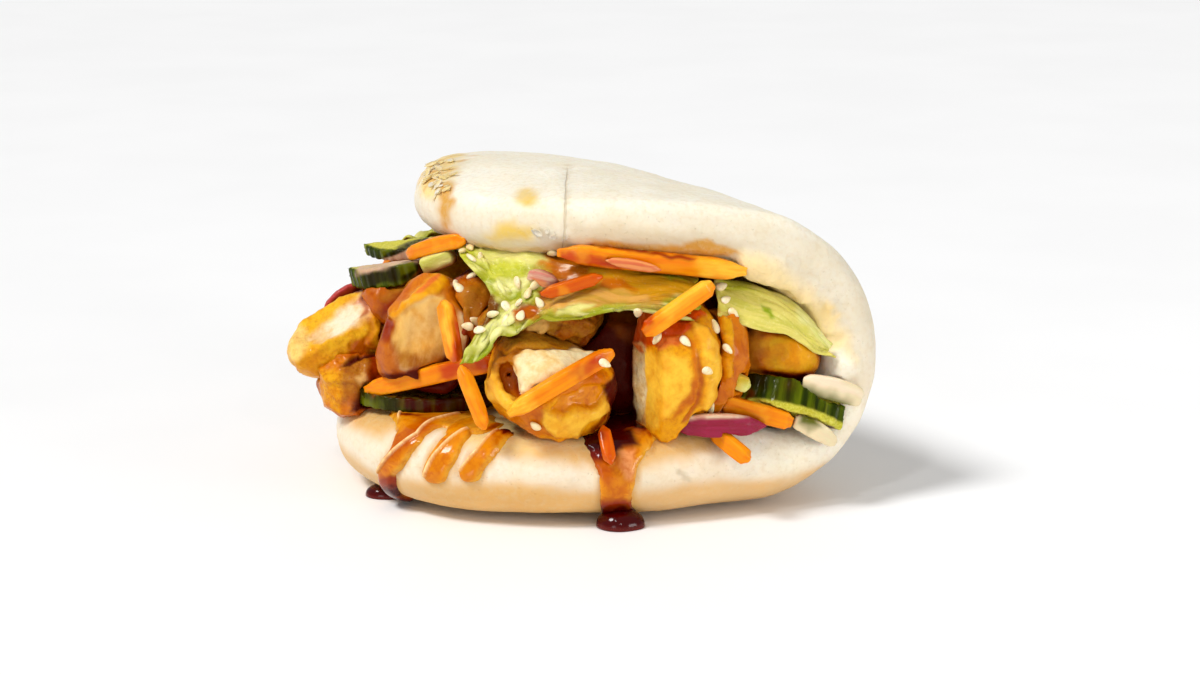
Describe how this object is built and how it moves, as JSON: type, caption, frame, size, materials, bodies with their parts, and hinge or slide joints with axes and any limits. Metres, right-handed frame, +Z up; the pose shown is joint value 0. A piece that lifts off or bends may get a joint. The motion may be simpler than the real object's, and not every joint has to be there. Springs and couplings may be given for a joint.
{
  "type": "filled steamed bun",
  "caption": "Folded steamed bao filled with glazed fried chicken, lettuce, carrot, cucumber and red onion, with sesame and sauce running down its lower lip.",
  "frame": {"origin": "middle of the whole, filling included, at the level of the bun's underside", "axes": "+Z up as it rests, -Y towards the open side that shows the filling, +X towards the fold's near end, the viewer's right"},
  "size_m": [0.1148, 0.1091, 0.0615],
  "materials": {
    "dough": "soft matt steamed dough, tan where it is shaded, with glossy amber sauce on the lower lip",
    "fried_chicken": "golden crisp batter, partly glazed with amber sauce, pale meat where cut",
    "lettuce": "satin, yellow-green with pale ribs and amber glaze",
    "lettuce_stalk": "satin, pale",
    "carrot": "moist cut carrot, glazed in places",
    "red_onion": "moist and slightly translucent, purple to pale pink",
    "cucumber": "glossy dark green skin with lighter streaks, pale moist flesh"
  },
  "bodies": {
    "root": {"bun": "dough", "carrot_back_end": "carrot", "carrot_back_high": "carrot", "carrot_back_low": "carrot", "carrot_crossing": "carrot", "carrot_hanging": "carrot", "carrot_in_glaze": "carrot", "carrot_left": "carrot", "carrot_long": "carrot", "carrot_low_right": "carrot", "carrot_on_shell": "carrot", "carrot_tip_right": "carrot", "carrot_tip_sauce": "carrot", "carrot_top_left": "carrot", "carrot_upright": "carrot", "chicken_back_end": "fried_chicken", "chicken_back_front": "fried_chicken", "chicken_back_middle": "fried_chicken", "chicken_big_cut": "fried_chicken", "chicken_gap": "fried_chicken", "chicken_inner_fold": "fried_chicken", "chicken_inner_left": "fried_chicken", "chicken_inner_right": "fried_chicken", "chicken_left_tip": "fried_chicken", "chicken_low_left": "fried_chicken", "chicken_mid_left": "fried_chicken", "chicken_right": "fried_chicken", "chicken_shell": "fried_chicken", "chicken_standing": "fried_chicken", "chicken_standing_right": "fried_chicken", "chicken_under_leaf": "fried_chicken", "chicken_upper_left": "fried_chicken", "cucumber_back": "cucumber", "cucumber_back_low": "cucumber", "cucumber_behind": "cucumber", "cucumber_low_left": "cucumber", "cucumber_right": "cucumber", "cucumber_top_left": "cucumber", "leaf_back": "lettuce", "leaf_front": "lettuce", "leaf_side": "lettuce", "onion_back": "red_onion", "onion_far_left": "red_onion", "onion_on_carrot": "red_onion", "onion_on_leaf": "red_onion", "onion_purple": "red_onion", "onion_right_edge": "red_onion", "onion_right_low": "red_onion", "stalk_left": "lettuce_stalk", "stalk_right": "lettuce_stalk"}
  },
  "joints": []
}
